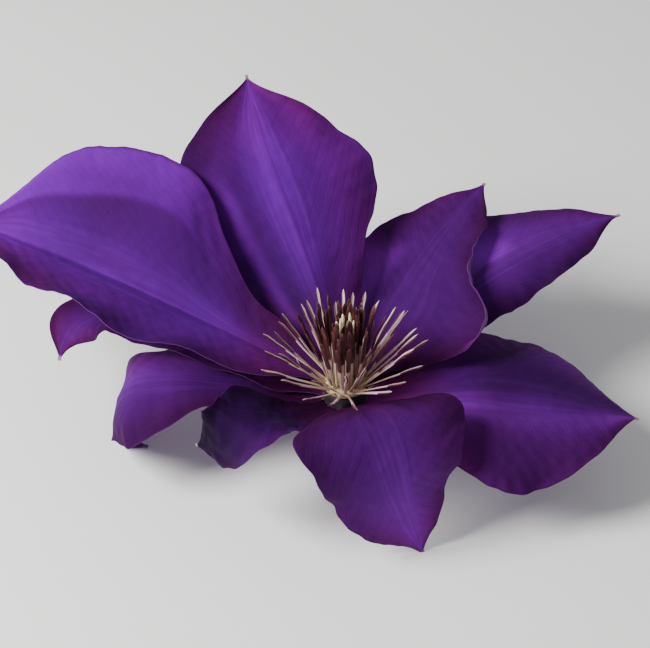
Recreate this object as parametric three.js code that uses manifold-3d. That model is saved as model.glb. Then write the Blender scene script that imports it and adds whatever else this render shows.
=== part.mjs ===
// Large-flowered clematis bloom lying face up, as picked: nine petal-like tepals in a loose wheel,
// a boss of stamens round a tuft of styles, and a short bent flower stalk under the receptacle.
// Millimetres, +Z up. The bloom rests on two drooping tepals and on the end of its stalk.
import * as THREE from "three";
import { mergeVertices } from "three/addons/utils/BufferGeometryUtils.js";
import Module from "manifold-3d";

// Driving dimensions of the whole bloom.
const CENTRE_HEIGHT = 26; // top of the receptacle above the surface
const SEAT_GAP = 0.3; // clearance between pieces that sit on one another
const RECEPTACLE_RADIUS = 4.5;
const RECEPTACLE_DEPTH = 6.6;
const STALK_RADIUS = 1.35;

// Driving dimensions of every tepal.
const CLAW_RADIUS = 5; // distance of a tepal's narrow base from the axis
const MIDRIB_THICKNESS = 0.72;
const MARGIN_THICKNESS = 0.64;
const POINT_START = 0.985; // share of the length where the small end point begins
const POINT_HALF_WIDTH = 0.35;
const ROWS = 20; // faces along a blade
const COLUMNS = 10; // faces across a blade

// One entry for each tepal, in degrees and millimetres, lowest claw first. "left" is the side that lies
// anticlockwise seen from above. Lists run from claw to tip at even steps.
//   heading  direction of the claw, anticlockwise from +X
//   drop     depth of the claw below CENTRE_HEIGHT
//   rise, sway, lean, roll  slope of the midrib, turn of its heading, bend in the plane of the blade,
//            and turn about the midrib
//   leftHalf, rightHalf     half widths as shares of width / 2
//   leftSlope, rightSlope   slope of each half across the blade, [beside the midrib, at the margin]
//   rightFold               shares of the half width between which that slope changes
//   rightLip                further slope of a narrow turned-up strip along the margin
//   leftWave, rightWave     [height, number, phase] of the margin's waves
const TEPALS = {
  tepal_left_low: {
    heading: 168, drop: 4.6, length: 66, width: 34,
    rise: [0, 0, 0, 0, -2, -8, -24, -62, -94, -114, -176],
    leftHalf: [0.15, 0.3, 0.33, 0.42, 0.82, 1.0, 0.74, 0.26, 0.025],
    rightHalf: [0.1, 0.4, 0.6, 0.7, 0.66, 0.6, 0.64, 0.54, 0.025],
    leftSlope: [[0, 0], [-8, -14], [-12, -20], [0, 0]], rightSlope: [[0, 0], [0, 0]],
    leftWave: [0.5, 2.2, 0.3], rightWave: [1, 3.1, 0.1],
  },
  tepal_right: {
    heading: 356, drop: 4.6, length: 58, width: 44, rise: [12, 8, -10, -18], sway: [0, 0, 2],
    leftHalf: [0.13, 0.5, 0.8, 1.0, 1.04, 0.97, 0.78, 0.48, 0.015],
    rightHalf: [0.13, 0.4, 0.62, 0.82, 0.96, 0.96, 0.8, 0.48, 0.015],
    leftSlope: [[0, 0], [-4, -14], [-10, -20]], rightSlope: [[0, 0], [-25, -45], [-20, -30]],
    leftWave: [0.8, 2.6, 0.4], rightWave: [0.8, 3.3, 0.55],
  },
  tepal_under_left: {
    heading: 155, drop: 3.45, length: 67, width: 30,
    rise: [4, 6, 6, 5, 4, 1, -8, -22, -26], sway: [0, 0, 0, 0, 0, 0, 12, 62, 104],
    leftHalf: [0.11, 0.3, 0.34, 0.34, 0.38, 0.4, 0.38, 0.36, 0.025],
    rightHalf: [0.11, 0.4, 0.6, 0.6, 0.6, 0.6, 0.56, 0.6, 0.025],
    leftSlope: [[0, 0]], rightSlope: [[0, 0]],
    leftWave: [0.8, 4.2, 0.2], rightWave: [0.6, 3.4, 0],
  },
  tepal_right_upper: {
    heading: 49, drop: 3.35, length: 73, width: 32, rise: [9, 12, 13, 7],
    sway: [0, 0, -4, -13, -22, -28, -30], roll: [0, -6, -10, -4, 0],
    leftHalf: [0.1, 0.42, 0.72, 0.98, 1.16, 1.16, 0.92, 0.5, 0.02],
    rightHalf: [0.1, 0.38, 0.5, 0.62, 0.66, 0.62, 0.54, 0.4, 0.02],
    leftSlope: [[0, 0]], rightSlope: [[0, 0], [-4, -8], [-22, -30], [-24, -30], [0, 0]],
    leftWave: [1.2, 3.2, 0.3], rightWave: [0.9, 3.6, 0.6],
  },
  tepal_front_left: {
    heading: 220, drop: 3.45, length: 41, width: 27,
    rise: [0, 14, 36, 8, -66, -88, -80], lean: [0, 0, 0, 0, -30, -56, -64],
    leftHalf: [0.17, 0.42, 0.54, 0.54, 0.44, 0.3, 0.025],
    rightHalf: [0.17, 0.5, 0.75, 0.84, 0.66, 0.56, 0.025],
    leftSlope: [[5, 10], [5, 10], [0, 0]], rightSlope: [[5, 10], [5, 10], [0, 0]],
    leftWave: [0.6, 2.6, 0.2], rightWave: [0.6, 2.3, 0.5],
  },
  tepal_back_right: {
    heading: 61, drop: 2.3, length: 61, width: 38, rise: [12, 14, 12, 6],
    leftHalf: [0.09, 0.5, 0.8, 0.9, 0.87, 0.7, 0.42, 0.02],
    rightHalf: [0.09, 0.5, 1.1, 1.26, 0.8, 0.52, 0.42, 0.26, 0.02],
    leftSlope: [[0, 0]], rightSlope: [[0, 5], [5, 26], [0, 0]], rightLip: [0, 0, 60, 90, 60, 0, 0],
    leftWave: [0.8, 3.4, 0.1], rightWave: [0.5, 2.7, 0.4],
  },
  tepal_front: {
    heading: 290, drop: 2.3, length: 51.2, width: 42,
    rise: [34, 28, -45, -88, -87, -80], lean: [0, 0, 6, 13, 15, 15],
    leftHalf: [0.13, 0.48, 0.86, 0.88, 0.72, 0.5, 0.3, 0.02],
    rightHalf: [0.12, 0.5, 0.86, 0.78, 0.7, 0.6, 0.4, 0.02],
    leftSlope: [[5, 10], [0, -12], [0, 0]], rightSlope: [[5, 10], [0, -14], [0, 0]],
    leftWave: [0.7, 3.1, 0.5], rightWave: [0.9, 2.8, 0.2],
  },
  tepal_back: {
    heading: 101, drop: 1.15, length: 72, width: 46, rise: [26, 32, 32, 24], sway: [0, 13, 12, -2],
    leftHalf: [0.075, 0.28, 0.54, 0.7, 0.78, 0.84, 0.86, 0.52, 0.015],
    rightHalf: [0.075, 0.28, 0.42, 0.6, 0.9, 1.0, 0.84, 0.54, 0.015],
    leftSlope: [[-12, -20], [-30, -44], [-12, -24], [0, 0]], rightSlope: [[0, 0], [0, -10], [0, 0]],
    leftWave: [1, 4.1, 0.35], rightWave: [0.9, 3.3, 0.15],
  },
  tepal_left: {
    heading: 152, drop: 0.4, length: 88, width: 54, rise: [9, 10, 8, 3], sway: [0, 2, 4],
    leftHalf: [0.065, 0.38, 0.62, 0.86, 0.95, 0.93, 0.78, 0.5, 0.015],
    rightHalf: [0.065, 0.25, 0.34, 0.66, 1.06, 1.12, 1.05, 0.86, 0.015],
    leftSlope: [[15, 20], [24, 30], [24, 28]], rightSlope: [[36, 46], [53, 20], [27, 0]],
    rightFold: [0.52, 0.68],
    leftWave: [1.1, 3.6, 0.2], rightWave: [0.7, 2.4, 0.5],
  },
};

const radians = THREE.MathUtils.degToRad;
const { clamp, smoothstep } = THREE.MathUtils;

// Value at a share of the way along a list of evenly spaced stations, on a smooth curve through them.
function along(stations, share) {
  const last = stations.length - 1;
  if (last === 0) return stations[0];
  const place = clamp(share, 0, 1) * last;
  const i = Math.min(Math.floor(place), last - 1);
  const f = place - i;
  const before = stations[Math.max(i - 1, 0)];
  const from = stations[i];
  const to = stations[i + 1];
  const after = stations[Math.min(i + 2, last)];
  const bend = 2 * before - 5 * from + 4 * to - after;
  const twist = 3 * from - before - 3 * to + after;
  return 0.5 * (2 * from + (to - before) * f + bend * f * f + twist * f ** 3);
}

// Directions along, across (to the left) and out of the upper face of a blade.
function bladeFrame(tepal, u) {
  const rise = radians(along(tepal.rise, u));
  const heading = radians(tepal.heading + along(tepal.sway ?? [0], u));
  const lean = radians(along(tepal.lean ?? [0], u));
  const roll = radians(along(tepal.roll ?? [0], u));
  const tangent = new THREE.Vector3(Math.cos(heading), Math.sin(heading), 0).multiplyScalar(Math.cos(rise));
  tangent.z = Math.sin(rise);
  const side = new THREE.Vector3(-Math.sin(heading), Math.cos(heading), 0);
  const up = tangent.clone().cross(side);
  const forward = tangent.clone().multiplyScalar(Math.cos(lean)).addScaledVector(side, Math.sin(lean));
  const left = side.clone().multiplyScalar(Math.cos(lean)).addScaledVector(tangent, -Math.sin(lean));
  return {
    forward,
    left: left.clone().multiplyScalar(Math.cos(roll)).addScaledVector(up, Math.sin(roll)),
    up: up.clone().multiplyScalar(Math.cos(roll)).addScaledVector(left, -Math.sin(roll)),
  };
}

// Distance across and height above the midrib's plane at share s of one half of the blade.
function crossSection(tepal, side, u, s) {
  const shares = tepal[`${side}Half`];
  const slopes = tepal[`${side}Slope`];
  const [height, number, phase] = tepal[`${side}Wave`];
  const bladeShare = Math.min(u / POINT_START, 1);
  const halfWidth = Math.max((along(shares, bladeShare) * tepal.width) / 2, POINT_HALF_WIDTH);
  const inner = along(slopes.map((pair) => pair[0]), u);
  const outer = along(slopes.map((pair) => pair[1]), u);
  const lip = along(tepal[`${side}Lip`] ?? [0], u);
  const [foldStart, foldEnd] = tepal[`${side}Fold`] ?? [0.25, 0.9];
  const slopeAt = (share) => {
    const bent = inner + (outer - inner) * smoothstep(share, foldStart, foldEnd);
    return radians(bent + lip * smoothstep(share, 0.8, 0.95));
  };
  const parts = 12;
  const step = (s * halfWidth) / parts;
  let across = 0;
  let up = 0;
  for (let i = 0; i < parts; i++) {
    const slope = slopeAt((s * (i + 0.5)) / parts);
    across += Math.cos(slope) * step;
    up += Math.sin(slope) * step;
  }
  const fade = Math.sqrt(Math.max(Math.sin(Math.PI * bladeShare), 0));
  const ripple = height * s ** 2.5 * Math.sin(2 * Math.PI * (number * u + phase)) * fade;
  return { across: across - ripple * Math.sin(slopeAt(s)), up: up + ripple * Math.cos(slopeAt(s)) };
}

// Middle surface of a blade: rows of points from claw to tip, each from the right margin to the left.
function bladeRows(tepal) {
  const steps = 60;
  const angle = radians(tepal.heading);
  const claw = new THREE.Vector3(Math.cos(angle), Math.sin(angle), 0).multiplyScalar(CLAW_RADIUS);
  claw.z = CENTRE_HEIGHT - tepal.drop;
  const midrib = [claw];
  for (let i = 0; i < steps; i++) {
    const { forward } = bladeFrame(tepal, (i + 0.5) / steps);
    midrib.push(midrib[i].clone().addScaledVector(forward, tepal.length / steps));
  }
  const rows = [];
  for (let i = 0; i <= ROWS; i++) {
    const u = 1 - (1 - i / ROWS) ** 1.12;
    const place = Math.min(u * steps, steps - 1e-9);
    const before = Math.floor(place);
    const middle = midrib[before].clone().lerp(midrib[before + 1], place - before);
    const { left, up } = bladeFrame(tepal, u);
    const row = [];
    for (let j = 0; j <= COLUMNS; j++) {
      const v = (2 * j) / COLUMNS - 1;
      const side = v < 0 ? "right" : "left";
      const section = crossSection(tepal, side, u, Math.abs(v));
      const across = Math.sign(v) * section.across;
      row.push(middle.clone().addScaledVector(left, across).addScaledVector(up, section.up));
    }
    rows.push(row);
  }
  return rows;
}

// Thin closed solid round a blade's middle surface. Both faces split every quad along the same
// diagonal. What would reach below the surface at z = 0 lies flat on it.
function tepalGeometry(tepal) {
  const rows = bladeRows(tepal);
  const point = (i, j) => rows[clamp(i, 0, ROWS)][clamp(j, 0, COLUMNS)];
  const upper = [];
  const under = [];
  for (let i = 0; i <= ROWS; i++) {
    for (let j = 0; j <= COLUMNS; j++) {
      const forward = point(i + 1, j).clone().sub(point(i - 1, j));
      const left = point(i, j + 1).clone().sub(point(i, j - 1));
      const normal = forward.cross(left).normalize();
      const fromMidrib = Math.abs((2 * j) / COLUMNS - 1);
      const half = THREE.MathUtils.lerp(MIDRIB_THICKNESS, MARGIN_THICKNESS, fromMidrib) / 2;
      const top = point(i, j).clone().addScaledVector(normal, half);
      const bottom = point(i, j).clone().addScaledVector(normal, -half);
      const sunk = Math.min(top.z, bottom.z, 0);
      top.z -= sunk;
      bottom.z -= sunk;
      upper.push(top);
      under.push(bottom);
    }
  }
  const id = (i, j) => i * (COLUMNS + 1) + j;
  const below = upper.length;
  const triangles = [];
  for (let i = 0; i < ROWS; i++) {
    for (let j = 0; j < COLUMNS; j++) {
      const [a, b, c, d] = [id(i, j), id(i + 1, j), id(i + 1, j + 1), id(i, j + 1)];
      triangles.push(a, b, c, a, c, d);
      triangles.push(below + a, below + c, below + b, below + a, below + d, below + c);
    }
  }
  // the rim, walked once round the blade with the blade on its left
  const rim = [];
  for (let i = 0; i < ROWS; i++) rim.push(id(i, 0));
  for (let j = 0; j < COLUMNS; j++) rim.push(id(ROWS, j));
  for (let i = ROWS; i > 0; i--) rim.push(id(i, COLUMNS));
  for (let j = COLUMNS; j > 0; j--) rim.push(id(0, j));
  rim.forEach((a, k) => {
    const b = rim[(k + 1) % rim.length];
    triangles.push(a, below + a, below + b, a, below + b, b);
  });
  return indexedGeometry([...upper, ...under], triangles);
}

function indexedGeometry(points, triangles) {
  const geometry = new THREE.BufferGeometry().setFromPoints(points);
  geometry.setIndex(triangles);
  return geometry;
}

const wasm = await Module();
wasm.setup();

function toManifold(geometry) {
  const bare = geometry.clone();
  bare.deleteAttribute("normal");
  bare.deleteAttribute("uv");
  const merged = mergeVertices(bare, 1e-5);
  return new wasm.Manifold(new wasm.Mesh({
    numProp: 3,
    vertProperties: Float32Array.from(merged.attributes.position.array),
    triVerts: Uint32Array.from(merged.index.array),
  }));
}

function fromManifold(solid) {
  const mesh = solid.getMesh();
  const geometry = new THREE.BufferGeometry();
  geometry.setAttribute("position", new THREE.BufferAttribute(Float32Array.from(mesh.vertProperties), 3));
  geometry.setIndex(Array.from(mesh.triVerts));
  return geometry;
}

// Solid of revolution about +Z from [radius, height] points that run upwards.
function turned(profile, segments) {
  const points = profile.map(([radius, height]) => new THREE.Vector2(radius, height));
  return toManifold(new THREE.LatheGeometry(points, segments).rotateX(Math.PI / 2));
}

// Closed five-sided thread through points, with its own radius at each.
function thread(points, radii) {
  const sides = 5;
  const last = points.length - 1;
  const vertices = [];
  const triangles = [];
  const across = new THREE.Vector3(0.31, 0.87, 0.38);
  points.forEach((point, i) => {
    const forward = points[Math.min(i + 1, last)].clone().sub(points[Math.max(i - 1, 0)]).normalize();
    across.addScaledVector(forward, -across.dot(forward)).normalize();
    const other = forward.clone().cross(across);
    for (let k = 0; k < sides; k++) {
      const angle = (2 * Math.PI * k) / sides;
      const offset = across.clone().multiplyScalar(Math.cos(angle)).addScaledVector(other, Math.sin(angle));
      vertices.push(point.clone().addScaledVector(offset, radii[i]));
    }
  });
  for (let i = 0; i < last; i++) {
    for (let k = 0; k < sides; k++) {
      const a = i * sides + k;
      const b = i * sides + ((k + 1) % sides);
      triangles.push(a, b, b + sides, a, b + sides, a + sides);
    }
  }
  for (let k = 1; k < sides - 1; k++) {
    triangles.push(0, k + 1, k);
    triangles.push(last * sides, last * sides + k, last * sides + k + 1);
  }
  return toManifold(indexedGeometry(vertices, triangles));
}

// Seeded draw, the same on every run: a value between -amount and amount.
const SEED = 41;
let drawState = SEED;
function spread(amount) {
  drawState = (drawState * 1664525 + 1013904223) >>> 0;
  return (drawState / 2147483648 - 1) * amount;
}

// Stamens: pale filaments with thicker anthers along their upper part, in three whorls on a low ring.
const RING_INNER = 2.5;
const RING_OUTER = 4.1;
const RING_HEIGHT = 1.7;
const WHORLS = [
  { count: 18, foot: 3.5, lift: 35, length: 16.6, curl: 4, antherStart: 0.6 },
  { count: 13, foot: 3.2, lift: 54, length: 17.6, curl: 6, antherStart: 0.55 },
  { count: 9, foot: 3.1, lift: 74, length: 17.5, curl: 6, antherStart: 0.5 },
];
const LIFT_SPREAD = 4;
const FOOT_HEIGHT = 0.8; // of a stamen's foot above the bottom of the ring
const FILAMENT_FOOT_RADIUS = 0.55;
const FILAMENT_RADIUS = 0.41;
const ANTHER_RADIUS = 0.68;
const ANTHER_END_RADIUS = 0.3;

// One stamen, sunk into the ring at its foot, leaving the axis at lift degrees and curving upwards.
function stamen(whorl, angle, lift, length, turn) {
  const steps = 40;
  const path = [new THREE.Vector2(whorl.foot, CENTRE_HEIGHT + SEAT_GAP + FOOT_HEIGHT)];
  for (let i = 0; i < steps; i++) {
    const slope = radians(lift + whorl.curl * ((i + 0.5) / steps) ** 2);
    const step = new THREE.Vector2(Math.cos(slope), Math.sin(slope)).multiplyScalar(length / steps);
    path.push(path[i].clone().add(step));
  }
  const stations = [
    [0, FILAMENT_FOOT_RADIUS], [0.22, FILAMENT_RADIUS], [0.45, FILAMENT_RADIUS],
    [whorl.antherStart, FILAMENT_RADIUS], [whorl.antherStart + 0.1, ANTHER_RADIUS],
    [0.92, ANTHER_RADIUS * 0.9], [1, ANTHER_END_RADIUS],
  ];
  const points = stations.map(([share]) => {
    const { x: radius, y: height } = path[Math.round(share * steps)];
    const around = angle + turn * share;
    return new THREE.Vector3(radius * Math.cos(around), radius * Math.sin(around), height);
  });
  return thread(points, stations.map(([, radius]) => radius));
}

function stamens() {
  const low = CENTRE_HEIGHT + SEAT_GAP;
  let solid = turned([
    [RING_INNER, low], [RING_OUTER, low], [RING_OUTER, low + RING_HEIGHT / 2],
    [RING_OUTER - 0.5, low + RING_HEIGHT], [RING_INNER, low + RING_HEIGHT], [RING_INNER, low],
  ], 20);
  for (const whorl of WHORLS) {
    for (let i = 0; i < whorl.count; i++) {
      const angle = (2 * Math.PI * (i + 0.35 + spread(0.2))) / whorl.count;
      const length = whorl.length * (1 + spread(0.07));
      solid = solid.add(stamen(whorl, angle, whorl.lift + spread(LIFT_SPREAD), length, spread(0.12)));
    }
  }
  return solid;
}

// Styles: a tuft of pale styles rising from a small dome inside the ring of stamens.
const DOME_RADIUS = 2.1;
const DOME_HEIGHT = 2.3;
const STYLE_RINGS = [
  { count: 1, radius: 0, height: 16.5, flare: 0.5 },
  { count: 4, radius: 0.8, height: 16.5, flare: 0.7 },
  { count: 8, radius: 1.45, height: 15, flare: 1 },
];
const STYLE_RADIUS = 0.42;

function styles() {
  const low = CENTRE_HEIGHT + SEAT_GAP;
  let solid = turned([
    [0, low], [DOME_RADIUS, low], [DOME_RADIUS, low + 0.8], [DOME_RADIUS - 0.6, low + 1.8],
    [0, low + DOME_HEIGHT],
  ], 16);
  for (const ring of STYLE_RINGS) {
    for (let i = 0; i < ring.count; i++) {
      const angle = (2 * Math.PI * (i + 0.4)) / ring.count;
      const height = ring.height * (1 + spread(0.1));
      const flare = ring.flare * (1 + spread(0.3));
      const points = [0, 0.35, 0.7, 0.9, 1].map((share) => {
        const radius = ring.radius + flare * share * share;
        const level = low + 0.5 + height * share;
        return new THREE.Vector3(radius * Math.cos(angle), radius * Math.sin(angle), level);
      });
      const swell = [1.2, 1, 1, 1.2, 0.7].map((factor) => factor * STYLE_RADIUS);
      solid = solid.add(thread(points, swell));
    }
  }
  return solid;
}

// Receptacle and stalk: a small top-shaped swelling on a stalk that bends over and lies on the surface.
const STALK_LIE = STALK_RADIUS + 0.02; // height of the stalk's axis where it lies down
const STALK_PATH = [
  [0, 0, 21.5], [0.4, 1.2, 16.5], [2.6, 6.2, 9.6], [6.4, 14, 4.1], [10.2, 22.2, 1.75],
  [13.4, 30, STALK_LIE], [16.2, 37.5, STALK_LIE],
];

function flowerStalk() {
  const top = CENTRE_HEIGHT;
  const bottom = top - RECEPTACLE_DEPTH;
  const head = turned([
    [0, bottom - 0.8], [STALK_RADIUS + 0.6, bottom - 0.6], [RECEPTACLE_RADIUS - 0.9, bottom + 0.5],
    [RECEPTACLE_RADIUS, bottom + 1.4], [RECEPTACLE_RADIUS, top - 0.9],
    [RECEPTACLE_RADIUS - 0.8, top - 0.15], [0, top],
  ], 28);
  const places = STALK_PATH.map((place) => new THREE.Vector3(...place));
  const path = new THREE.CatmullRomCurve3(places, false, "centripetal");
  const outline = new THREE.Shape().absarc(0, 0, STALK_RADIUS, 0, 2 * Math.PI);
  const stalk = new THREE.ExtrudeGeometry(outline, {
    steps: 18, curveSegments: 6, bevelEnabled: false, extrudePath: path,
  });
  return head.add(toManifold(stalk));
}

const TEPAL_COLOUR = 0x5a2fa0;
const STAMEN_COLOUR = 0xcdb4b0;
const STYLE_COLOUR = 0xe8dcb0;
const STALK_COLOUR = 0x6f8a45;

const bloom = new THREE.Group();
bloom.name = "clematis_flower";

function place(name, geometry, color) {
  geometry.computeVertexNormals();
  const mesh = new THREE.Mesh(geometry, new THREE.MeshStandardMaterial({ color, roughness: 0.55 }));
  mesh.name = name;
  bloom.add(mesh);
}

for (const [name, tepal] of Object.entries(TEPALS)) place(name, tepalGeometry(tepal), TEPAL_COLOUR);
place("stamens", fromManifold(stamens()), STAMEN_COLOUR);
place("styles", fromManifold(styles()), STYLE_COLOUR);
place("flower_stalk", fromManifold(flowerStalk()), STALK_COLOUR);

// The origin is the middle of the box round the bloom, on the surface it rests on.
const box = new THREE.Box3().setFromObject(bloom, true);
const middle = box.getCenter(new THREE.Vector3());
for (const mesh of bloom.children) mesh.geometry.translate(-middle.x, -middle.y, -box.min.z);

export default bloom;
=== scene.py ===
import math

import bpy
import numpy as np
from mathutils import Matrix, Vector


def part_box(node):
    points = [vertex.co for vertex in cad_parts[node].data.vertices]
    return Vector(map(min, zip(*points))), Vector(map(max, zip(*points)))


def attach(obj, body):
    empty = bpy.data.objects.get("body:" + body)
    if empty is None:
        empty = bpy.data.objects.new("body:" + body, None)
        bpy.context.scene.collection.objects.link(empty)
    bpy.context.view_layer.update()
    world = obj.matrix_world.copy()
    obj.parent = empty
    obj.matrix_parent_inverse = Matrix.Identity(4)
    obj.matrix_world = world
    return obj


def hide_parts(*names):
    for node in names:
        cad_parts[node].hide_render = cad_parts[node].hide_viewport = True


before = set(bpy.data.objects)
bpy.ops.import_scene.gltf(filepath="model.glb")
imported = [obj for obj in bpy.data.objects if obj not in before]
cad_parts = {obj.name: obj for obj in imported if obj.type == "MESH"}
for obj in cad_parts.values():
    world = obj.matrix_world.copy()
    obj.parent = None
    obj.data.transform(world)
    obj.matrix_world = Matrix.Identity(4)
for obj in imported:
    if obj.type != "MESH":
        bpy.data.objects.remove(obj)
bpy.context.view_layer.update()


# The view
# A picked bloom lying face up on a pale floor, seen from in front and from 40 degrees above it.
# The light is one big soft source from the upper left, with a weak one from the right.
MM = 0.001
RECEPTACLE_RADIUS = 4.5
CENTRE_HEIGHT = 26.0
stalk_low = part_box("flower_stalk")[0]
centre_x = stalk_low.x + RECEPTACLE_RADIUS * MM
centre_y = stalk_low.y + RECEPTACLE_RADIUS * MM
bloom_centre = Vector((centre_x, centre_y, CENTRE_HEIGHT * MM))

IMAGE_WIDTH = 650
CENTRE_RIGHT_OF_MIDDLE = 20
CENTRE_BELOW_MIDDLE = 61
PIXEL = 0.21 * MM
CAMERA_DISTANCE = 0.6
SENSOR = 36.0
camera_height = math.radians(40)
camera_right = Vector((1, 0, 0))
camera_up = Vector((0, math.sin(camera_height), math.cos(camera_height)))
camera_back = Vector((0, -math.cos(camera_height), math.sin(camera_height)))
aim = bloom_centre - camera_right * CENTRE_RIGHT_OF_MIDDLE * PIXEL + camera_up * CENTRE_BELOW_MIDDLE * PIXEL


def add_object(name, data):
    thing = bpy.data.objects.new(name, data)
    bpy.context.scene.collection.objects.link(thing)
    return thing


camera_data = bpy.data.cameras.new("camera")
camera_data.sensor_width = SENSOR
camera_data.lens = SENSOR * CAMERA_DISTANCE / (IMAGE_WIDTH * PIXEL)
camera_data.clip_start = 0.01
camera = add_object("camera", camera_data)
turn = Matrix((camera_right, camera_up, camera_back)).transposed().to_4x4()
camera.matrix_world = Matrix.Translation(aim + camera_back * CAMERA_DISTANCE) @ turn
bpy.context.scene.camera = camera

LIT_POINT = Vector((0, 0, 0.02))


def add_light(name, place, size, power, colour):
    data = bpy.data.lights.new(name, "AREA")
    data.shape = "DISK"
    data.size = size
    data.energy = power
    data.color = colour
    light = add_object(name, data)
    light.location = place
    light.rotation_euler = (Vector(place) - LIT_POINT).to_track_quat("Z", "Y").to_euler()


add_light("light_key", (-0.37, -0.13, 0.4), size=0.28, power=6.6, colour=(1.0, 0.985, 0.97))
add_light("light_fill", (0.7, -0.6, 0.5), size=0.8, power=0.5, colour=(0.95, 0.96, 1.0))

world = bpy.data.worlds.new("world")
bpy.context.scene.world = world
world.use_nodes = True
sky = world.node_tree.nodes["Background"]
sky.inputs["Color"].default_value = (0.97, 0.975, 1.0, 1)
sky.inputs["Strength"].default_value = 0.4


def new_material(name):
    """A material with its node tree, its shader and the place on the object."""
    material = bpy.data.materials.new(name)
    material.use_nodes = True
    tree = material.node_tree
    place = tree.nodes.new("ShaderNodeTexCoord").outputs["Object"]
    return material, tree, tree.nodes["Principled BSDF"], place


FLOOR_HALF = 3.0
floor_mesh = bpy.data.meshes.new("floor")
corners = [(x * FLOOR_HALF, y * FLOOR_HALF, 0) for x, y in ((-1, -1), (1, -1), (1, 1), (-1, 1))]
floor_mesh.from_pydata(corners, [], [(0, 1, 2, 3)])
floor = add_object("floor", floor_mesh)
floor_paint, _, floor_shader, _ = new_material("floor_paint")
floor_shader.inputs["Base Color"].default_value = (0.86, 0.86, 0.85, 1)
floor_shader.inputs["Roughness"].default_value = 0.7
floor_mesh.materials.append(floor_paint)


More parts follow.
